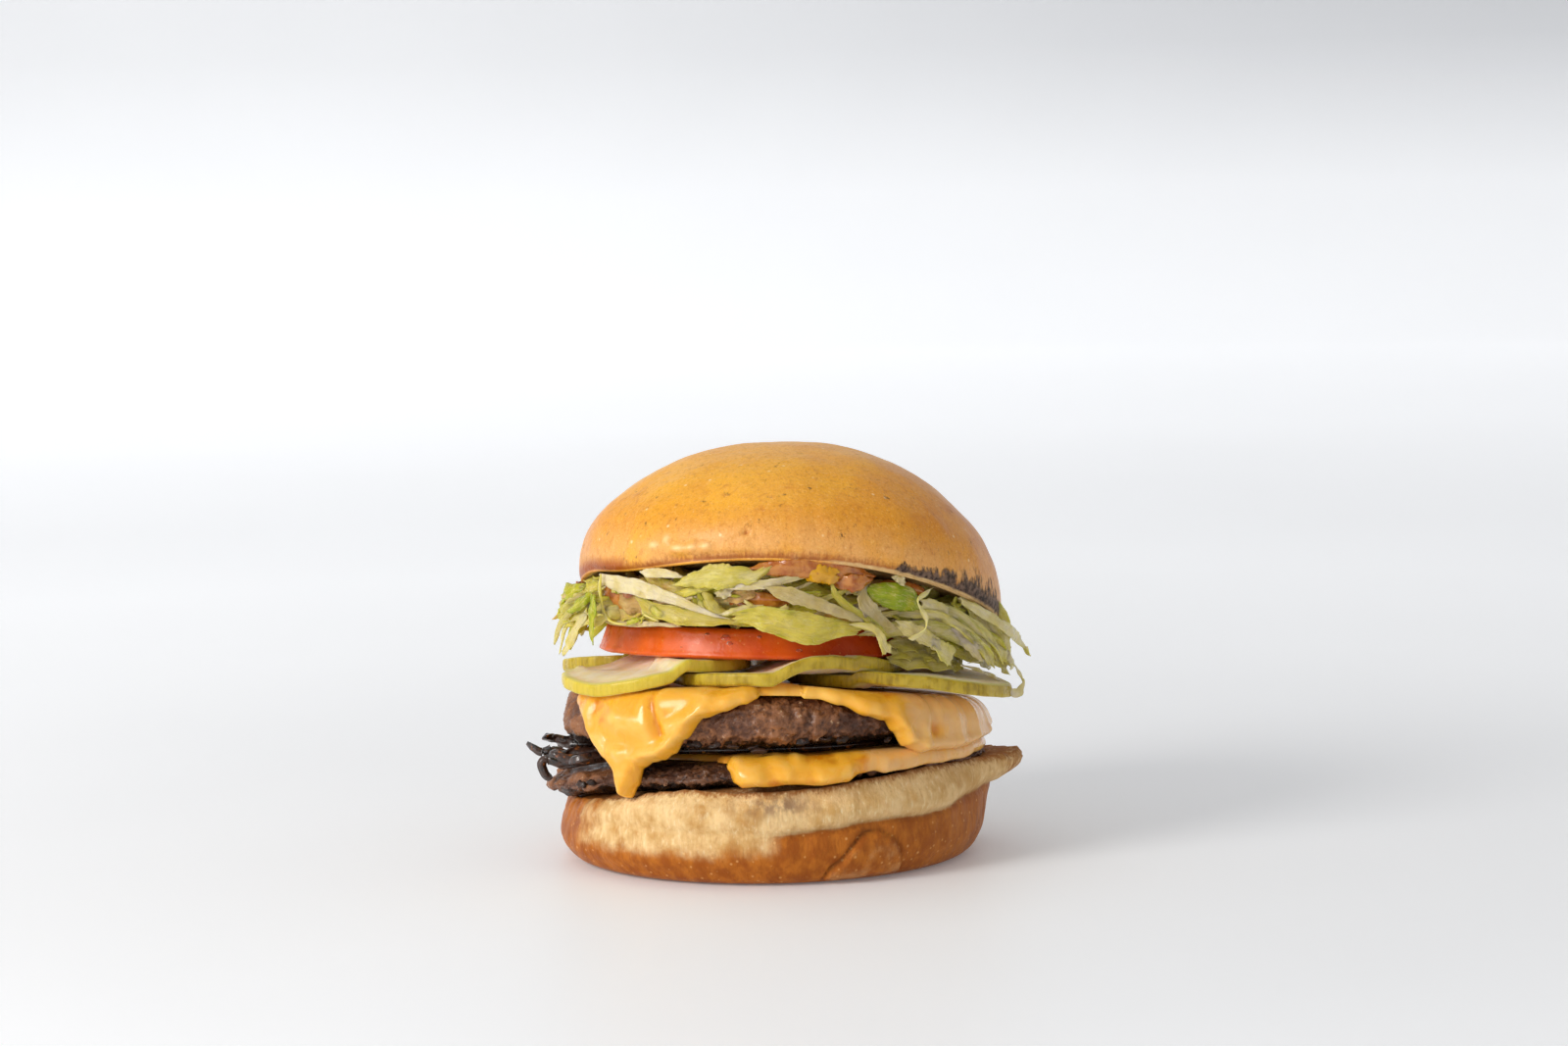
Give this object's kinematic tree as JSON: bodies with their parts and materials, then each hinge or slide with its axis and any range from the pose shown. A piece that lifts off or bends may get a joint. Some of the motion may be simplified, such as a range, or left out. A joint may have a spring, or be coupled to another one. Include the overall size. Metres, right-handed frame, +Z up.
{
  "type": "hamburger",
  "caption": "Double cheeseburger in a round glazed bun, with shredded lettuce, a tomato slice, pickle slices, melted cheese and charred onion.",
  "frame": {"origin": "centre of the flat underside of the bottom bun", "axes": "+Z up through the layers, -Y towards the side shown in the picture, +X to that side's right"},
  "size_m": [0.1308, 0.1119, 0.1038],
  "materials": {
    "crust": "shiny glazed bread crust",
    "bread_base": "soft bread crumb over a thin brown crust",
    "beef": "seared beef, moist with fat",
    "cheese": "glossy melted cheese",
    "charred_onion": "glossy black-brown charred onion",
    "pickle": "wet pickle slice",
    "tomato": "moist tomato skin and flesh",
    "lettuce": "crisp translucent lettuce"
  },
  "bodies": {
    "root": {"bun_bottom": "bread_base", "patty_lower": "beef", "cheese_lower": "cheese", "onion": "charred_onion", "patty_upper": "beef", "cheese_upper": "cheese", "pickle_right": "pickle", "pickle_middle": "pickle", "pickle_left_front": "pickle", "pickle_left_back": "pickle", "pickle_back": "pickle", "tomato": "tomato", "lettuce": "lettuce", "bun_top": "crust"}
  },
  "joints": []
}
